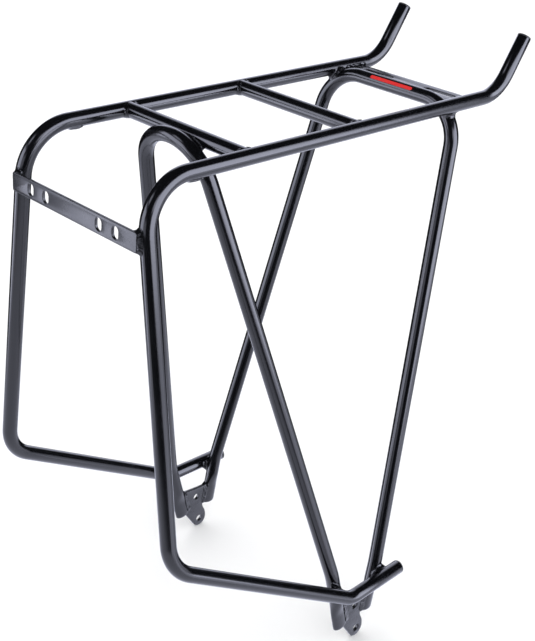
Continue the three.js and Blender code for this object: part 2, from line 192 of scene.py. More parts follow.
def clean(mesh, merge_distance):
    """Merge doubled points and turn the faces outward."""
    bm = bmesh.new()
    bm.from_mesh(mesh)
    bmesh.ops.remove_doubles(bm, verts=bm.verts, dist=merge_distance)
    bmesh.ops.recalc_face_normals(bm, faces=bm.faces)
    bm.to_mesh(mesh)
    bm.free()


def mesh_piece(name, points, faces, sharp_angle=40):
    """A piece from points in millimetres."""
    mesh = bpy.data.meshes.new(name)
    mesh.from_pydata([p * MM for p in points], [], faces)
    clean(mesh, MERGED)
    shade(mesh, sharp_angle)
    return new_object(name, mesh)


def evaluated_mesh(holder):
    """A new mesh of what an object looks like with its modifiers, or of a curve."""
    graph = bpy.context.evaluated_depsgraph_get()
    return bpy.data.meshes.new_from_object(holder.evaluated_get(graph))


def apply_modifiers(piece):
    mesh = evaluated_mesh(piece)
    piece.modifiers.clear()
    old, piece.data = piece.data, mesh
    bpy.data.meshes.remove(old)
    return piece


def stand_for(piece, node, material, limit=BOX_LIMIT):
    """Finish a piece: material, body and the CAD node it replaces."""
    piece.data.materials.clear()
    piece.data.materials.append(material)
    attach(piece, "root")
    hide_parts(node)
    compare_with_node(piece, node, limit)
    return piece


def compare_with_node(piece, node, limit):
    """Stop if a piece leaves its CAD node's box by more than the limit, in millimetres."""
    low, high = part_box(node)
    for corner in piece.bound_box:
        for axis in range(3):
            outside = max(low[axis] - corner[axis], corner[axis] - high[axis]) / MM
            if outside > limit:
                raise ValueError(f"{piece.name} leaves {node} by {outside:.2f} mm, axis {axis}")


# ---------------------------------------------------------------------------
# Tubes
# ---------------------------------------------------------------------------


def mirrored(points, sign):
    """The points on the right side as they are, or mirrored to the left."""
    return [Vector((p.x * sign, p.y, p.z)) for p in points]


def bent_path(corners, radii, near_ends=()):
    """Stations (point, tangent) along straights joined by arcs."""
    first = (corners[1] - corners[0]).normalized()
    last = (corners[-1] - corners[-2]).normalized()
    stations = [(corners[0] + first * d, first) for d in (0.0, *near_ends)]
    for before, corner, after, radius in zip(corners, corners[1:], corners[2:], radii):
        arriving = (corner - before).normalized()
        leaving = (after - corner).normalized()
        turn = arriving.angle(leaving)
        start = corner - arriving * radius * math.tan(turn / 2)
        axis = arriving.cross(leaving).normalized()
        centre = start + axis.cross(arriving) * radius
        steps = max(2, math.ceil(turn / ARC_STEP))
        for i in range(steps + 1):
            spin = Matrix.Rotation(turn * i / steps, 3, axis)
            stations.append((centre + spin @ (start - centre), spin @ arriving))
    stations += [(corners[-1] - last * d, last) for d in (*reversed(near_ends), 0.0)]
    return stations


def frames_along(stations):
    """Each station with two directions across it, carried along without twist."""
    tangent = stations[0][1]
    side = tangent.orthogonal().normalized()
    framed = []
    for point, direction in stations:
        side = tangent.rotation_difference(direction) @ side
        side = (side - direction * side.dot(direction)).normalized()
        framed.append((point, side, direction.cross(side)))
        tangent = direction
    return framed


def sweep(rings):
    """Points and faces of a tube through rings of (centre, side, up, radius).

    A ring of radius 0 closes the tube there.
    """
    points = []
    faces = []
    for centre, side, up, radius in rings:
        for i in range(ROUND_STEPS):
            angle = 2 * math.pi * i / ROUND_STEPS
            points.append(centre + (side * math.cos(angle) + up * math.sin(angle)) * radius)
    for ring in range(len(rings) - 1):
        for i in range(ROUND_STEPS):
            a = ring * ROUND_STEPS + i
            b = ring * ROUND_STEPS + (i + 1) % ROUND_STEPS
            faces.append((a, b, b + ROUND_STEPS, a + ROUND_STEPS))
    return points, faces


# Profiles of a tube's end: (distance from the end, radius), from the middle out.
BORE = TUBE_RADIUS - TUBE_WALL
BORE_DEPTH = 14
OPEN_END = [
    (BORE_DEPTH, 0),
    (BORE_DEPTH, BORE),
    (0.2, BORE),
    (0.04, BORE + 0.1),
    (0, BORE + 0.3),
    (0, TUBE_RADIUS - 0.32),
    (0.06, TUBE_RADIUS - 0.12),
    (0.3, TUBE_RADIUS),
]
CLOSED_END = [(0, 0), (0, 3.9), (0.1, 4.35), (0.35, 4.7), (0.8, 4.9), (1.3, TUBE_RADIUS)]


def tube(stations, end_profile):
    """A round tube along a path, with the same end at both its ends."""
    framed = frames_along(stations)
    start, side, up = framed[0]
    inward = stations[0][1]
    rings = [(start + inward * depth, side, up, radius) for depth, radius in end_profile]
    rings += [(point, side, up, TUBE_RADIUS) for point, side, up in framed[1:-1]]
    end, side, up = framed[-1]
    outward = stations[-1][1]
    rings += [(end - outward * depth, side, up, radius) for depth, radius in end_profile[::-1]]
    return sweep(rings)


def horn_direction():
    return Vector((0, math.cos(HORN_RISE), math.sin(HORN_RISE)))


def rail_stations(sign):
    """The rail's path, from below the horn's plug to behind the lower plug."""
    horn_bend = Vector((RAIL_X, HORN_BEND_Y, PLATFORM_Z))
    lower_end = LOWER_FRONT + (KINK - LOWER_FRONT).normalized() * PLUG_ROOM
    corners = [
        horn_bend + horn_direction() * (HORN_LENGTH - PLUG_ROOM),
        horn_bend,
        Vector((RAIL_X, REAR_BEND_Y, PLATFORM_Z)),
        LEG_FOOT,
        KINK,
        lower_end,
    ]
    return bent_path(mirrored(corners, sign), RAIL_RADII)


def hoop_stations(hoop):
    """The hoop's path, from the right leg's end over the top to the left leg's end."""
    half = [
        Vector((DROPOUT_X, *hoop["end"])),
        Vector((DROPOUT_X, *hoop["knee"])),
        Vector(hoop["corner"]),
    ]
    corners = half + mirrored(half, -1)[::-1]
    radii = [KNEE_RADIUS, hoop["arch"], hoop["arch"], KNEE_RADIUS]
    return bent_path(corners, radii, LEG_RINGS)


def smoothstep(value, low, high):
    """0 up to low, 1 from high, and smooth between them."""
    t = min(1.0, max(0.0, (value - low) / (high - low)))
    return t * t * (3 - 2 * t)


def flatten_leg_ends(points, hoop):
    """Press the lower leg ends flat between the faces, and round their corners."""
    end = Vector((0, *hoop["end"]))
    along = (Vector((0, *hoop["knee"])) - end).normalized()
    across = Vector((1, 0, 0))
    sideways = across.cross(along)
    pressed_points = []
    for p in points:
        foot = end + across * DROPOUT_X * math.copysign(1, p.x)
        offset = p - foot
        height = offset.dot(along)
        if height > FLAT_LENGTH + FLAT_BLEND:
            pressed_points.append(p)
            continue
        a = offset.dot(across)
        b = offset.dot(sideways)
        radius = max(math.hypot(a, b), 1e-9)
        share = min(1.0, radius / TUBE_RADIUS)
        pressed = 1 - smoothstep(height, FLAT_LENGTH, FLAT_LENGTH + FLAT_BLEND)
        rounding = max(0.0, 1 - height / END_ROUNDING) ** 2
        thickness = radius - (FLAT_THINNER * pressed + END_THINNING * rounding) * share
        width = radius + (FLAT_WIDER * pressed - END_NARROWING * rounding) * share
        moved = foot + along * height + across * (a * thickness / radius)
        pressed_points.append(moved + sideways * (b * width / radius))
    return pressed_points


def build_rail(word, sign, material):
    points, faces = tube(rail_stations(sign), OPEN_END)
    piece = mesh_piece(f"rail_tube_{word}", points, faces)
    return stand_for(piece, f"rail_{word}", material)


def build_hoop(name, hoop, material):
    points, faces = tube(hoop_stations(hoop), CLOSED_END)
    piece = mesh_piece(f"{name}_tube", flatten_leg_ends(points, hoop), faces)
    return stand_for(piece, name, material)


def build_cross_tube(name, y, material):
    """A straight tube coped to the rails. Its ends are open, hidden inside the rails."""
    centre = Vector((0, y, PLATFORM_Z))
    points = []
    faces = []
    for i in range(ROUND_STEPS):
        angle = 2 * math.pi * i / ROUND_STEPS
        rise = TUBE_RADIUS * math.sin(angle)
        rail_surface = math.sqrt(max(0.0, TUBE_RADIUS**2 - rise**2))
        reach = RAIL_X - max(COPE_TIP, rail_surface - COPE_BITE)
        offset = Vector((0, TUBE_RADIUS * math.cos(angle), rise))
        points.append(centre + offset - Vector((reach, 0, 0)))
        points.append(centre + offset + Vector((reach, 0, 0)))
    for i in range(ROUND_STEPS):
        a = 2 * i
        b = 2 * ((i + 1) % ROUND_STEPS)
        faces.append((a, a + 1, b + 1, b))
    piece = mesh_piece(f"{name}_coped", points, faces)
    return stand_for(piece, name, material)


# ---------------------------------------------------------------------------
# Sheet pieces
# ---------------------------------------------------------------------------


def arc(x, y, radius, start, end, steps=SLOT_STEPS):
    """Points of an arc, angles in degrees."""
    angles = [math.radians(start + (end - start) * i / steps) for i in range(steps + 1)]
    return [(x + radius * math.cos(a), y + radius * math.sin(a)) for a in angles]


def slot_outline(x, y, length, width, upright):
    """A slot with round ends about its middle; upright ones are long in y."""
    radius = width / 2
    straight = (length - width) / 2
    if upright:
        return arc(x, y + straight, radius, 0, 180) + arc(x, y - straight, radius, 180, 360)
    return arc(x + straight, y, radius, -90, 90) + arc(x - straight, y, radius, 90, 270)


def circle_outline(x, y, radius):
    return arc(x, y, radius, 0, 360, HOLE_STEPS)[:-1]


def rounded_rectangle(x0, y0, x1, y1, radius):
    return (
        arc(x1 - radius, y0 + radius, radius, -90, 0, CORNER_STEPS)
        + arc(x1 - radius, y1 - radius, radius, 0, 90, CORNER_STEPS)
        + arc(x0 + radius, y1 - radius, radius, 90, 180, CORNER_STEPS)
        + arc(x0 + radius, y0 + radius, radius, 180, 270, CORNER_STEPS)
    )


def quadratic(start, control, end):
    """Points of a quadratic curve after its start."""
    curve = []
    for i in range(1, CURVE_STEPS + 1):
        t = i / CURVE_STEPS
        weighted = list(zip(((1 - t) ** 2, 2 * t * (1 - t), t * t), (start, control, end)))
        curve.append(tuple(sum(weight * point[k] for weight, point in weighted) for k in (0, 1)))
    return curve


def sheet(name, outline, holes, thickness, place, edge=PLATE_EDGE):
    """A flat piece with softened edges. The matrix places its middle plane."""
    curve = bpy.data.curves.new(name, "CURVE")
    curve.dimensions = "2D"
    curve.fill_mode = "BOTH"
    curve.extrude = thickness / 2 - edge
    curve.bevel_depth = edge
    curve.bevel_resolution = EDGE_STEPS
    curve.offset = -edge
    for loop in [outline, *[hole[::-1] for hole in holes]]:
        spline = curve.splines.new("POLY")
        spline.points.add(len(loop) - 1)
        for point, (x, y) in zip(spline.points, loop):
            point.co = (x, y, 0, 1)
        spline.use_cyclic_u = True
    holder = new_object(name, curve)
    mesh = evaluated_mesh(holder)
    bpy.data.objects.remove(holder)
    bpy.data.curves.remove(curve)
    mesh.transform(Matrix.Scale(MM, 4) @ place)
    clean(mesh, SHEET_MERGED)
    shade(mesh, sharp_angle=50)
    return new_object(name, mesh)


# Turns a drawing in (y, z) to stand across X.
ACROSS_X = Matrix(((0, 0, 1, 0), (1, 0, 0, 0), (0, 1, 0, 0), (0, 0, 0, 1)))
# Turns a drawing in (x, z) to stand across Y.
ACROSS_Y = Matrix(((1, 0, 0, 0), (0, 0, -1, 0), (0, 1, 0, 0), (0, 0, 0, 1)))


def build_stay_plate(material):
    """The plate runs from rail to rail, against the front hoop's bar."""
    half = RAIL_X - TUBE_RADIUS + STAY_PLATE["into_rail"]
    rear, front = STAY_PLATE["rear"], STAY_PLATE["front"]
    outline = [(-half, rear), (half, rear), (half, front), (-half, front)]
    x, y = STAY_SLOT["x"], STAY_SLOT["y"]
    slots = [
        slot_outline(sign * x, y, STAY_SLOT["length"], STAY_SLOT["width"], upright=False)
        for sign in (1, -1)
    ]
    middle = Matrix.Translation((0, 0, STAY_PLATE["top"] - STAY_PLATE["thick"] / 2))
    piece = sheet("stay_plate_sheet", outline, slots, STAY_PLATE["thick"], middle)
    return stand_for(piece, "stay_plate", material)


def build_light_plate(material):
    """The plate lies against the backs of the rear legs."""
    half, height = LIGHT_PLATE["half"], LIGHT_PLATE["height"]
    outline = rounded_rectangle(-half, -height / 2, half, height / 2, LIGHT_PLATE["corner"])
    slots = [
        slot_outline(sign * pitch / 2, 0, LIGHT_SLOT["height"], LIGHT_SLOT["width"], upright=True)
        for pitch in LIGHT_SLOT["pitches"]
        for sign in (1, -1)
    ]
    y = LIGHT_PLATE["rear"] + LIGHT_PLATE["thick"] / 2
    place = Matrix.Translation((0, y, LIGHT_PLATE["z"])) @ ACROSS_Y
    piece = sheet("light_plate_sheet", outline, slots, LIGHT_PLATE["thick"], place)
    return stand_for(piece, "light_plate", material)


def dropout_outline():
    """The plate in (y, z): hollowed top, the front leg's side, waist, ring, the rear leg's side."""
    ring = EYELET_RING
    top_rear, top_front = (-18.7, 32.4), (7.5, 30.4)
    waist, shoulder, ring_front = (3.6, 16), (4.6, 8), (ring, 0)
    top = [top_rear] + quadratic(top_rear, (-6, 30.4), top_front)
    neck = quadratic(waist, (1.8, 12.5), shoulder)
    neck += quadratic(shoulder, (ring, 4.6), ring_front)[:-1]
    tip = arc(0, 0, ring, 0, -158, RING_STEPS)
    loop = top + [waist] + neck + tip + [(-15, 10), (-17, 14.5)]
    return loop[::-1]


def build_dropout(word, sign, material):
    holes = [
        circle_outline(0, 0, EYELET_HOLE),
        circle_outline(UPPER_HOLE["y"], UPPER_HOLE["z"], UPPER_HOLE["radius"]),
    ]
    name = f"dropout_plate_{word}"
    place = Matrix.Translation((sign * DROPOUT_X, 0, 0)) @ ACROSS_X
    piece = sheet(name, dropout_outline(), holes, DROPOUT_THICKNESS, place, DROPOUT_EDGE)
    return stand_for(piece, f"dropout_{word}", material)


def build_stop_lug(word, sign, material):
    """A low wedge under the rail, drawn in (y, z)."""
    rear, front, slope = STOP_LUG["rear"], STOP_LUG["front"], STOP_LUG["slope"]
    under = PLATFORM_Z - TUBE_RADIUS
    root = under + STOP_LUG["root"]
    bottom = under - STOP_LUG["depth"]
    heel = (rear, under - STOP_LUG["rear_depth"])
    toe = (front - slope, bottom)
    belly = quadratic(heel, (rear + slope, bottom), toe)
    nose = quadratic(toe, (front - STOP_LUG["nose"], bottom), (front, under))
    loop = [(rear, root), heel] + belly + nose + [(front, root)]
    place = Matrix.Translation((sign * RAIL_X, 0, 0)) @ ACROSS_X
    piece = sheet(f"stop_lug_block_{word}", loop, [], STOP_LUG["width"], place, LUG_EDGE)
    return stand_for(piece, f"stop_lug_{word}", material)


def build_stripe(material):
    """A thin film along the rear of the front hoop's bar, with rounded ends."""
    half_angle = STRIPE["width"] / TUBE_RADIUS / 2
    centre = Vector(FRONT_HOOP["corner"])
    corner = STRIPE["width"] / 2
    points = []
    faces = []
    for i in range(STRIPE_STEPS + 1):
        across = 2 * i / STRIPE_STEPS - 1
        turn = STRIPE_TURN + half_angle * across
        inset = corner * (1 - math.sqrt(max(0.0, 1 - across**2)))
        outward = Vector((0, -math.cos(turn), math.sin(turn)))
        for radius in (TUBE_RADIUS - STRIPE["root"], TUBE_RADIUS + STRIPE["lift"]):
            for sign in (-1, 1):
                x = STRIPE["x"] + sign * (STRIPE["length"] / 2 - inset)
                points.append(Vector((x, centre.y, centre.z)) + outward * radius)
    for i in range(STRIPE_STEPS):
        a, b = 4 * i, 4 * i + 4
        faces += [(a, a + 1, b + 1, b), (a + 2, b + 2, b + 3, a + 3)]
        faces += [(a, b, b + 2, a + 2), (a + 1, a + 3, b + 3, b + 1)]
    last = 4 * STRIPE_STEPS
    faces += [(0, 2, 3, 1), (last, last + 1, last + 3, last + 2)]
    piece = mesh_piece("bar_stripe_film", points, faces)
    return stand_for(piece, "bar_stripe", material)


# ---------------------------------------------------------------------------
# Plugs
# ---------------------------------------------------------------------------


# (depth below the cap's top, radius): dish, rounded rim, stem.
PLUG_DISH = [(0.45, 0), (0.45, 1.6), (0.4, 2.6), (0.16, 3.3), (0.02, 3.75), (0, 4.2)]
PLUG_EDGE = [(0.1, 4.6), (0.32, 4.86), (0.62, PLUG_RIM), (PLUG_CAP, PLUG_RIM)]
PLUG_STEM = [(PLUG_CAP, 3.6), (PLUG_CAP + 8.6, 3.5), (PLUG_CAP + 9, 3.1), (PLUG_CAP + 9, 0)]


def build_plug(name, node, outer_face, direction, material):
    """A moulded cap with a rounded rim, a shallow dish and a stem in the bore."""
    profile = PLUG_DISH + PLUG_EDGE + PLUG_STEM
    side = direction.orthogonal().normalized()
    up = direction.cross(side)
    rings = [(outer_face - direction * depth, side, up, radius) for depth, radius in profile]
    points, faces = sweep(rings)
    piece = mesh_piece(name, points, faces, sharp_angle=50)
    return stand_for(piece, node, material)


# ---------------------------------------------------------------------------
# Weld beads
# ---------------------------------------------------------------------------

BEAD_VOXEL = 0.32
BEAD_RELAXING = 4
BEAD_RELAX_FACTOR = 0.6
BEAD_GROWTH = 1.0  # how far the CAD seam is grown before it settles
SAMPLE_STEP = 29  # every 29th point of a seam says which pieces it joins
AXIS_ROUNDS = 60
ANY_DIRECTION = (0.61, 0.53, 0.59)

# A point settles in a few steps. Points deep inside a neighbour stay where they are.
SETTLE_ROUNDS = 5
LONGEST_STEP = 1.0
FLATTEST_SLOPE = 0.2
DEEP_INSIDE = -0.6
SINK = 0.25  # how deep a bead's rim dives under its neighbours
RIM_BLEND = 0.16  # where the blend is weaker than this, the point is on the rim

RIPPLE_PITCH = 1.5
RIPPLE_HEIGHT = 0.16
RIPPLE_MEAN = 0.6
FEWEST_RIPPLES = 6
UNEVEN_SCALE = 0.35
UNEVEN_HEIGHT = 0.3
RIPPLE_FADE = (0.25, 0.7)  # the blend over which ripples rise to their height
FILLETS = {  # how far each bead's fillet reaches along both its neighbours
    "front_hoop": 5.2,
    "rear_leg": 5.0,
    "front_leg": 5.0,
    "light_plate": 4.4,
    "dropout": 3.4,
    "stay_plate": 3.2,
}
SMALL_FILLET = 2.9


class Solid:
    """A finished piece, for distances to its surface in millimetres."""

    def __init__(self, piece):
        mesh = piece.data
        faces = [p.vertices[:] for p in mesh.polygons]
        self.tree = BVHTree.FromPolygons([v.co for v in mesh.vertices], faces)

    def distance(self, p):
        """The distance, negative inside, and the outward direction."""
        place, normal, _, length = self.tree.find_nearest(p * MM)
        offset = p * MM - place
        inside = offset.dot(normal) < 0
        direction = offset.normalized() if length > MERGED else normal
        return (-length / MM, -direction) if inside else (length / MM, direction)


def fillet_field(p, first, second, reach):
    """A smooth union of two solids at a point.

    Gives its value, its gradient, how much it is blended and the nearer solid's distance.
    """
    a, toward_a = first.distance(p)
    b, toward_b = second.distance(p)
    if a > b:
        a, b, toward_a, toward_b = b, a, toward_b, toward_a
    blend = max(0.0, 1 - (b - a) / reach)
    value = a - blend**2 * reach / 4
    return value, toward_a * (1 - blend / 2) + toward_b * (blend / 2), blend, a


def settle_on_fillet(p, first, second, reach):
    """Move a point onto the fillet between two solids; points deep inside them stay."""
    for _ in range(SETTLE_ROUNDS):
        value, gradient, blend, nearest = fillet_field(p, first, second, reach)
        if nearest < DEEP_INSIDE:
            return p, gradient, 0.0
        rim = 1 - smoothstep(blend, 0.0, RIM_BLEND)
        step = (value + SINK * rim) / max(gradient.length_squared, FLATTEST_SLOPE)
        p = p - gradient * max(-LONGEST_STEP, min(LONGEST_STEP, step))
    return p, gradient, blend


def principal_axes(points):
    """The middle of some points and their axes, from the longest to the shortest."""
    middle = sum(points, Vector()) / len(points)
    spread = Matrix(((0, 0, 0), (0, 0, 0), (0, 0, 0)))
    for p in points:
        d = p - middle
        for i in range(3):
            for j in range(3):
                spread[i][j] += d[i] * d[j]
    axes = []
    for _ in range(2):
        axis = Vector(ANY_DIRECTION)
        for _ in range(AXIS_ROUNDS):
            for known in axes:
                axis = axis - known * axis.dot(known)
            axis = (spread @ axis).normalized()
        axes.append(axis)
    axes.append(axes[0].cross(axes[1]))
    return middle, axes


def seam_phase(p, middle, axes, is_ring, ring_radius):
    """How far a point lies along its seam, in millimetres."""
    offset = p - middle
    if not is_ring:
        return offset.dot(axes[0])
    return math.atan2(offset.dot(axes[1]), offset.dot(axes[0])) * ring_radius


def remeshed(piece):
    """Rebuild a piece with even, relaxed faces."""
    remesh = piece.modifiers.new("remesh", "REMESH")
    remesh.mode = "VOXEL"
    remesh.voxel_size = BEAD_VOXEL * MM
    relax = piece.modifiers.new("relax", "SMOOTH")
    relax.factor = BEAD_RELAX_FACTOR
    relax.iterations = BEAD_RELAXING
    return apply_modifiers(piece)


def neighbours_of(piece, solids):
    """The two solids that a bead lies between."""
    sample = [v.co / MM for v in piece.data.vertices][::SAMPLE_STEP]
    gaps = {solid: sum(abs(solid.distance(p)[0]) for p in sample) for solid in solids}
    return sorted(gaps, key=gaps.get)[:2]


def ring_for_ripples(points, middle, axis):
    """The radius of the ring round which a whole number of ripples fits."""
    spans = [(p - middle) - axis * (p - middle).dot(axis) for p in points]
    radius = sum(span.length for span in spans) / len(spans)
    ripples = max(FEWEST_RIPPLES, round(2 * math.pi * radius / RIPPLE_PITCH))
    return ripples * RIPPLE_PITCH / (2 * math.pi)


def build_weld(node, material, solids, straight=False):
    """A rippled fillet grown from the CAD seam, running out onto both its neighbours."""
    seam = node.removeprefix("weld_")
    piece = remeshed(new_object(f"bead_{seam}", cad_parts[node].data.copy()))
    first, second = neighbours_of(piece, solids)
    reach = next((r for word, r in FILLETS.items() if seam.startswith(word)), SMALL_FILLET)
    for vertex, normal in [(v, v.normal.copy()) for v in piece.data.vertices]:
        vertex.co += normal * BEAD_GROWTH * MM
    remeshed(piece)
    points = [v.co / MM for v in piece.data.vertices]
    middle, axes = principal_axes(points)
    ring_radius = ring_for_ripples(points, middle, axes[2])
    for vertex, p in zip(piece.data.vertices, points):
        p, outward, blend = settle_on_fillet(p, first, second, reach)
        phase = seam_phase(p, middle, axes, not straight, ring_radius)
        wave = abs(math.sin(math.pi * phase / RIPPLE_PITCH)) - RIPPLE_MEAN
        uneven = noise.noise(p * UNEVEN_SCALE) * UNEVEN_HEIGHT
        ripple = (RIPPLE_HEIGHT * wave + uneven) * smoothstep(blend, *RIPPLE_FADE)
        vertex.co = (p + outward.normalized() * ripple) * MM
    shade(piece.data, sharp_angle=180)
    return stand_for(piece, node, material, BEAD_BOX_LIMIT)


# ---------------------------------------------------------------------------
# Materials
# ---------------------------------------------------------------------------


class Nodes:
    """Builds a material's nodes."""

    def __init__(self, name):
        self.material = bpy.data.materials.new(name)
        self.material.use_nodes = True
        self.tree = self.material.node_tree
        self.shader = self.tree.nodes["Principled BSDF"]

    def add(self, kind, inputs=None, **settings):
        node = self.tree.nodes.new(kind)
        for key, value in settings.items():
            setattr(node, key, value)
        for key, value in (inputs or {}).items():
            self.feed(node.inputs[key], value)
        return node

    def feed(self, socket, value):
        if isinstance(value, bpy.types.NodeSocket):
            self.tree.links.new(value, socket)
        else:
            socket.default_value = value

    def noise(self, place, scale, detail=2.0, roughness=0.5):
        inputs = {"Vector": place, "Scale": scale, "Detail": detail, "Roughness": roughness}
        return self.add("ShaderNodeTexNoise", inputs).outputs["Fac"]

    def spread(self, value, low, high):
        """Noise lies mostly from 0.3 to 0.7; this spreads it from low to high."""
        inputs = {"Value": value, "From Min": 0.3, "From Max": 0.7, "To Min": low, "To Max": high}
        return self.add("ShaderNodeMapRange", inputs).outputs["Result"]

    def blend(self, factor, first, second):
        """A colour between two, by the factor."""
        node = self.add("ShaderNodeMix", data_type="RGBA")
        self.feed(node.inputs["Factor"], factor)
        first_socket, second_socket = [s for s in node.inputs if s.type == "RGBA"]
        self.feed(first_socket, (*first, 1))
        self.feed(second_socket, (*second, 1))
        return next(s for s in node.outputs if s.type == "RGBA")

    def bump(self, height, distance, strength, normal=None):
        inputs = {"Height": height, "Distance": distance, "Strength": strength}
        node = self.add("ShaderNodeBump", inputs)
        if normal is not None:
            self.feed(node.inputs["Normal"], normal)
        return node.outputs["Normal"]


# Noise scales are in cells per metre, roughly; bump distances are in metres.


def powder_coat(name, colour, roughness, peel):
    """Black powder coat: fine orange peel, faint cloudiness and tiny specks."""
    n = Nodes(name)
    place = n.add("ShaderNodeTexCoord").outputs["Object"]
    cloud = n.noise(place, scale=45, detail=4, roughness=0.6)
    peel_height = n.noise(place, scale=900)
    fleck = n.noise(place, scale=3200, detail=1)
    lighter = tuple(c * 1.6 for c in colour)
    n.feed(n.shader.inputs["Base Color"], n.blend(n.spread(cloud, 0, 1), colour, lighter))
    n.feed(n.shader.inputs["Roughness"], n.spread(cloud, roughness * 0.88, roughness * 1.15))
    soft = n.bump(peel_height, distance=0.00004, strength=peel)
    rough = n.bump(fleck, distance=0.00001, strength=0.25, normal=soft)
    n.feed(n.shader.inputs["Normal"], rough)
    n.shader.inputs["IOR"].default_value = 1.5
    return n.material


def stripe_film(name):
    """Plain red stripe under the clear coat, a little uneven."""
    n = Nodes(name)
    place = n.add("ShaderNodeTexCoord").outputs["Object"]
    cloud = n.noise(place, scale=260, detail=3)
    grain = n.noise(place, scale=2400)
    red = n.blend(cloud, (0.56, 0.004, 0.004), (0.68, 0.009, 0.008))
    n.feed(n.shader.inputs["Base Color"], red)
    n.feed(n.shader.inputs["Roughness"], n.spread(grain, 0.4, 0.5))
    n.feed(n.shader.inputs["Normal"], n.bump(grain, distance=0.00002, strength=0.3))
    return n.material


def moulded_plastic(name):
    """Matt black plastic with a fine spark-eroded grain."""
    n = Nodes(name)
    place = n.add("ShaderNodeTexCoord").outputs["Object"]
    grain = n.noise(place, scale=2600)
    cloud = n.noise(place, scale=120)
    black = n.blend(cloud, (0.011, 0.011, 0.012), (0.02, 0.02, 0.021))
    n.feed(n.shader.inputs["Base Color"], black)
    n.feed(n.shader.inputs["Roughness"], n.spread(grain, 0.42, 0.6))
    n.feed(n.shader.inputs["Normal"], n.bump(grain, distance=0.00004, strength=0.5))
    return n.material


# ---------------------------------------------------------------------------
# Assembly
# ---------------------------------------------------------------------------


TUBE_COAT = {"colour": (0.0022, 0.0023, 0.003), "roughness": 0.16, "peel": 0.32}
PLATE_COAT = {"colour": (0.0065, 0.0068, 0.008), "roughness": 0.27, "peel": 0.5}
WELD_COAT = {"colour": (0.0026, 0.0027, 0.0034), "roughness": 0.14, "peel": 0.2}


def build_rack():
    """Every piece; the welds come last, because they settle on the finished pieces."""
    coat = powder_coat("tube_powder_coat", **TUBE_COAT)
    plate_coat = powder_coat("plate_powder_coat", **PLATE_COAT)
    weld_coat = powder_coat("weld_powder_coat", **WELD_COAT)
    plastic = moulded_plastic("plug_plastic")
    film = stripe_film("stripe_film")
    joined = [
        build_hoop("rear_hoop", REAR_HOOP, coat),
        build_hoop("front_hoop", FRONT_HOOP, coat),
        build_cross_tube("rear_cross_tube", REAR_CROSS_Y, coat),
        build_cross_tube("middle_cross_tube", MIDDLE_CROSS_Y, coat),
        build_stay_plate(plate_coat),
        build_light_plate(plate_coat),
    ]
    build_stripe(film)
    lower_direction = (LOWER_FRONT - KINK).normalized()
    for word, sign in SIDES.items():
        joined += [
            build_rail(word, sign, coat),
            build_dropout(word, sign, plate_coat),
            build_stop_lug(word, sign, plate_coat),
        ]
        horn_bend = Vector((sign * RAIL_X, HORN_BEND_Y, PLATFORM_Z))
        horn_tip = horn_bend + horn_direction() * HORN_LENGTH
        build_plug(f"horn_cap_{word}", f"horn_plug_{word}", horn_tip, horn_direction(), plastic)
        lower_end, outward = mirrored([LOWER_FRONT, lower_direction], sign)
        build_plug(f"lower_cap_{word}", f"lower_plug_{word}", lower_end, outward, plastic)
    solids = [Solid(piece) for piece in joined]
    for node in sorted(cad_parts):
        if node.startswith("weld_"):
            build_weld(node, weld_coat, solids, straight=node == "weld_stay_plate_bar")


# ---------------------------------------------------------------------------
# Studio
# ---------------------------------------------------------------------------

CAMERA_TARGET = Vector((-11.25, -2.63, 262.76))
CAMERA_DISTANCE = 854.6
CAMERA_AZIMUTH = math.radians(43.31)
CAMERA_ELEVATION = math.radians(23.65)
CAMERA_ROLL = math.radians(4.36)
LENS = 68.35
SENSOR_WIDTH = 36
LENS_SHIFT = (-0.0234, -0.0962)
NEAREST_SEEN = 0.01


def build_camera():
    """A camera at a distance, heading, height and roll about its target."""
    data = bpy.data.cameras.new("camera")
    data.lens = LENS
    data.sensor_width = SENSOR_WIDTH
    data.shift_x, data.shift_y = LENS_SHIFT
    data.clip_start = NEAREST_SEEN
    camera = new_object("camera", data)
    flat = math.cos(CAMERA_ELEVATION)
    back = Vector((
        math.sin(CAMERA_AZIMUTH) * flat,
        -math.cos(CAMERA_AZIMUTH) * flat,
        math.sin(CAMERA_ELEVATION),
    ))
    right = (-back).cross(Vector((0, 0, 1))).normalized()
    up = right.cross(-back)
    tilted_right = right * math.cos(CAMERA_ROLL) + up * math.sin(CAMERA_ROLL)
    tilted_up = up * math.cos(CAMERA_ROLL) - right * math.sin(CAMERA_ROLL)
    turn = Matrix((tilted_right, tilted_up, back)).transposed().to_4x4()
    place = (CAMERA_TARGET + back * CAMERA_DISTANCE) * MM
    camera.matrix_world = Matrix.Translation(place) @ turn
    bpy.context.scene.camera = camera


FLOOR_SIZE = 60
FLOOR_GAP = 0.0002


def build_floor():
    """A plain pale floor just under the rack, unseen by the gloss."""
    low, _ = cad_box
    bpy.ops.mesh.primitive_plane_add(size=FLOOR_SIZE, location=(0, 0, low.z - FLOOR_GAP))
    floor = bpy.context.object
    floor.name = "floor"
    n = Nodes("floor_paper")
    place = n.add("ShaderNodeTexCoord").outputs["Object"]
    tone = n.noise(place, scale=3, detail=3)
    n.feed(n.shader.inputs["Base Color"], n.blend(tone, (0.9, 0.9, 0.9), (0.93, 0.93, 0.93)))
    n.shader.inputs["Roughness"].default_value = 0.9
    n.shader.inputs["Specular IOR Level"].default_value = 0.1
    floor.data.materials.append(n.material)
    floor.visible_glossy = False


LIGHTS = {
    "key": {"place": (1.6, -1.2, 1.9), "size": 1.6, "power": 14},
    "fill": {"place": (-1.6, 0.6, 2.0), "size": 1.8, "power": 10},
}


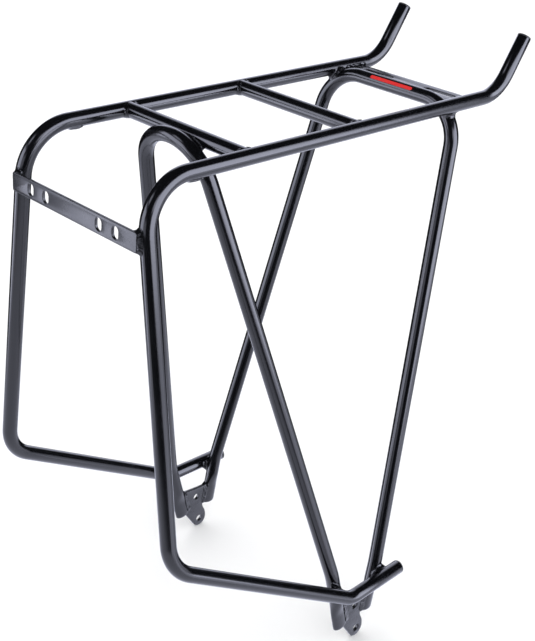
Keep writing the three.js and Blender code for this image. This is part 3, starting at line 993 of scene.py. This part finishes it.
def area_light(name, place, size, power):
    """A soft light for the floor and the rack's diffuse tone, aimed at the origin."""
    data = bpy.data.lights.new(name, "AREA")
    data.shape = "RECTANGLE"
    data.size = data.size_y = size
    data.energy = power
    light = new_object(name, data)
    light.location = place
    light.rotation_euler = (-Vector(place)).to_track_quat("-Z", "Y").to_euler()
    light.visible_glossy = False


# The room that the gloss reflects, in directions from the rack. Angles are in degrees.
# Headings run from the viewer's side, positive to the viewer's right; heights run up from
# level. Where patches overlap, the brighter one counts.
ROOM_HEADING = 43.31
DARK = 0.012
SOFT_EDGE = 7.0
SOFTBOXES = [
    # heading from, to, height from, to, brightness
    (34, 96, -14, 33, 7.4),
    (16, 40, 20, 36, 4.2),
    (48, 98, -30, -14, 2.5),
    (98, 122, -30, -6, 1.3),
    (-97, -53, -12, 24, 4.8),
    (-100, -50, -30, -12, 2.0),
    (-99, -76, -29, -12, 5.4),
    (-53, -19, -10, 12, 1.5),
    (-82, -56, 34, 50, 3.3),
]
BACK_WALL = {
    "from": 158,
    "side_edge": 16,
    "bottom": -12,
    "bottom_edge": 8,
    "top": 34,
    "top_edge": 12,
    "brightness": 1.7,
}
BENCH = {"top": -29, "brightness": 1.4}


class Room:
    """Builds the reflected room from soft-edged patches of the sky sphere."""

    def __init__(self, tree):
        self.tree = tree
        place = tree.nodes.new("ShaderNodeTexCoord").outputs["Generated"]
        split = tree.nodes.new("ShaderNodeSeparateXYZ")
        tree.links.new(place, split.inputs["Vector"])
        x, y, z = split.outputs
        turn = math.radians(ROOM_HEADING)
        right = self.math(
            "ADD",
            self.math("MULTIPLY", x, math.cos(turn)),
            self.math("MULTIPLY", y, math.sin(turn)),
        )
        towards = self.math(
            "SUBTRACT",
            self.math("MULTIPLY", x, math.sin(turn)),
            self.math("MULTIPLY", y, math.cos(turn)),
        )
        self.heading = self.math("DEGREES", self.math("ARCTAN2", right, towards))
        self.off_axis = self.math("ABSOLUTE", self.heading)
        self.height = self.math("DEGREES", self.math("ARCSINE", z))

    def math(self, operation, *values):
        node = self.tree.nodes.new("ShaderNodeMath")
        node.operation = operation
        for socket, value in zip(node.inputs, values):
            if isinstance(value, bpy.types.NodeSocket):
                self.tree.links.new(value, socket)
            else:
                socket.default_value = value
        return node.outputs[0]

    def above(self, value, limit, edge=SOFT_EDGE):
        """1 above the limit, 0 below it, with a soft edge."""
        node = self.tree.nodes.new("ShaderNodeMapRange")
        node.interpolation_type = "SMOOTHSTEP"
        self.tree.links.new(value, node.inputs["Value"])
        node.inputs["From Min"].default_value = limit - edge / 2
        node.inputs["From Max"].default_value = limit + edge / 2
        return node.outputs["Result"]

    def below(self, value, limit, edge=SOFT_EDGE):
        """1 below the limit, 0 above it, with a soft edge."""
        return self.math("SUBTRACT", 1.0, self.above(value, limit, edge))

    def patch(self, brightness, *edges):
        """The brightness inside all the edges, and 0 outside."""
        total = edges[0]
        for edge in edges[1:]:
            total = self.math("MULTIPLY", total, edge)
        return self.math("MULTIPLY", total, brightness)

    def softbox(self, left, right, bottom, top, brightness):
        return self.patch(
            brightness,
            self.above(self.heading, left),
            self.below(self.heading, right),
            self.above(self.height, bottom),
            self.below(self.height, top),
        )

    def back_wall(self):
        return self.patch(
            BACK_WALL["brightness"],
            self.above(self.off_axis, BACK_WALL["from"], BACK_WALL["side_edge"]),
            self.above(self.height, BACK_WALL["bottom"], BACK_WALL["bottom_edge"]),
            self.below(self.height, BACK_WALL["top"], BACK_WALL["top_edge"]),
        )

    def brightness(self):
        """The brightest patch in each direction, and the dark elsewhere."""
        patches = [self.softbox(*box) for box in SOFTBOXES]
        patches.append(self.back_wall())
        patches.append(self.patch(BENCH["brightness"], self.below(self.height, BENCH["top"])))
        total = patches[0]
        for level in patches[1:]:
            total = self.math("MAXIMUM", total, level)
        return self.math("MAXIMUM", total, DARK)


DOME = 1.08  # even white light on the floor and behind the rack
DOME_TINT = (0.985, 0.99, 1, 1)
GLOSS_TINT = (0.89, 0.92, 1.12, 1)


def build_world():
    """An even white dome, and for gloss a dark room with softboxes on both sides."""
    world = bpy.data.worlds.new("studio")
    bpy.context.scene.world = world
    world.use_nodes = True
    world.cycles.sampling_method = "NONE"
    tree = world.node_tree
    room = Room(tree)
    is_gloss = tree.nodes.new("ShaderNodeLightPath").outputs["Is Glossy Ray"]
    mix = tree.nodes.new("ShaderNodeMix")
    tree.links.new(is_gloss, mix.inputs["Factor"])
    mix.inputs["A"].default_value = DOME
    tree.links.new(room.brightness(), mix.inputs["B"])
    tint = tree.nodes.new("ShaderNodeMix")
    tint.data_type = "RGBA"
    tree.links.new(is_gloss, tint.inputs["Factor"])
    dome_tint, gloss_tint = [s for s in tint.inputs if s.type == "RGBA"]
    dome_tint.default_value = DOME_TINT
    gloss_tint.default_value = GLOSS_TINT
    background = tree.nodes["Background"]
    colour = next(s for s in tint.outputs if s.type == "RGBA")
    tree.links.new(colour, background.inputs["Color"])
    tree.links.new(mix.outputs["Result"], background.inputs["Strength"])


def build_studio():
    build_camera()
    build_floor()
    build_world()
    for name, light in LIGHTS.items():
        area_light(name, **light)
    view = bpy.context.scene.view_settings
    view.view_transform = "Standard"
    view.look = "None"


build_studio()
build_rack()
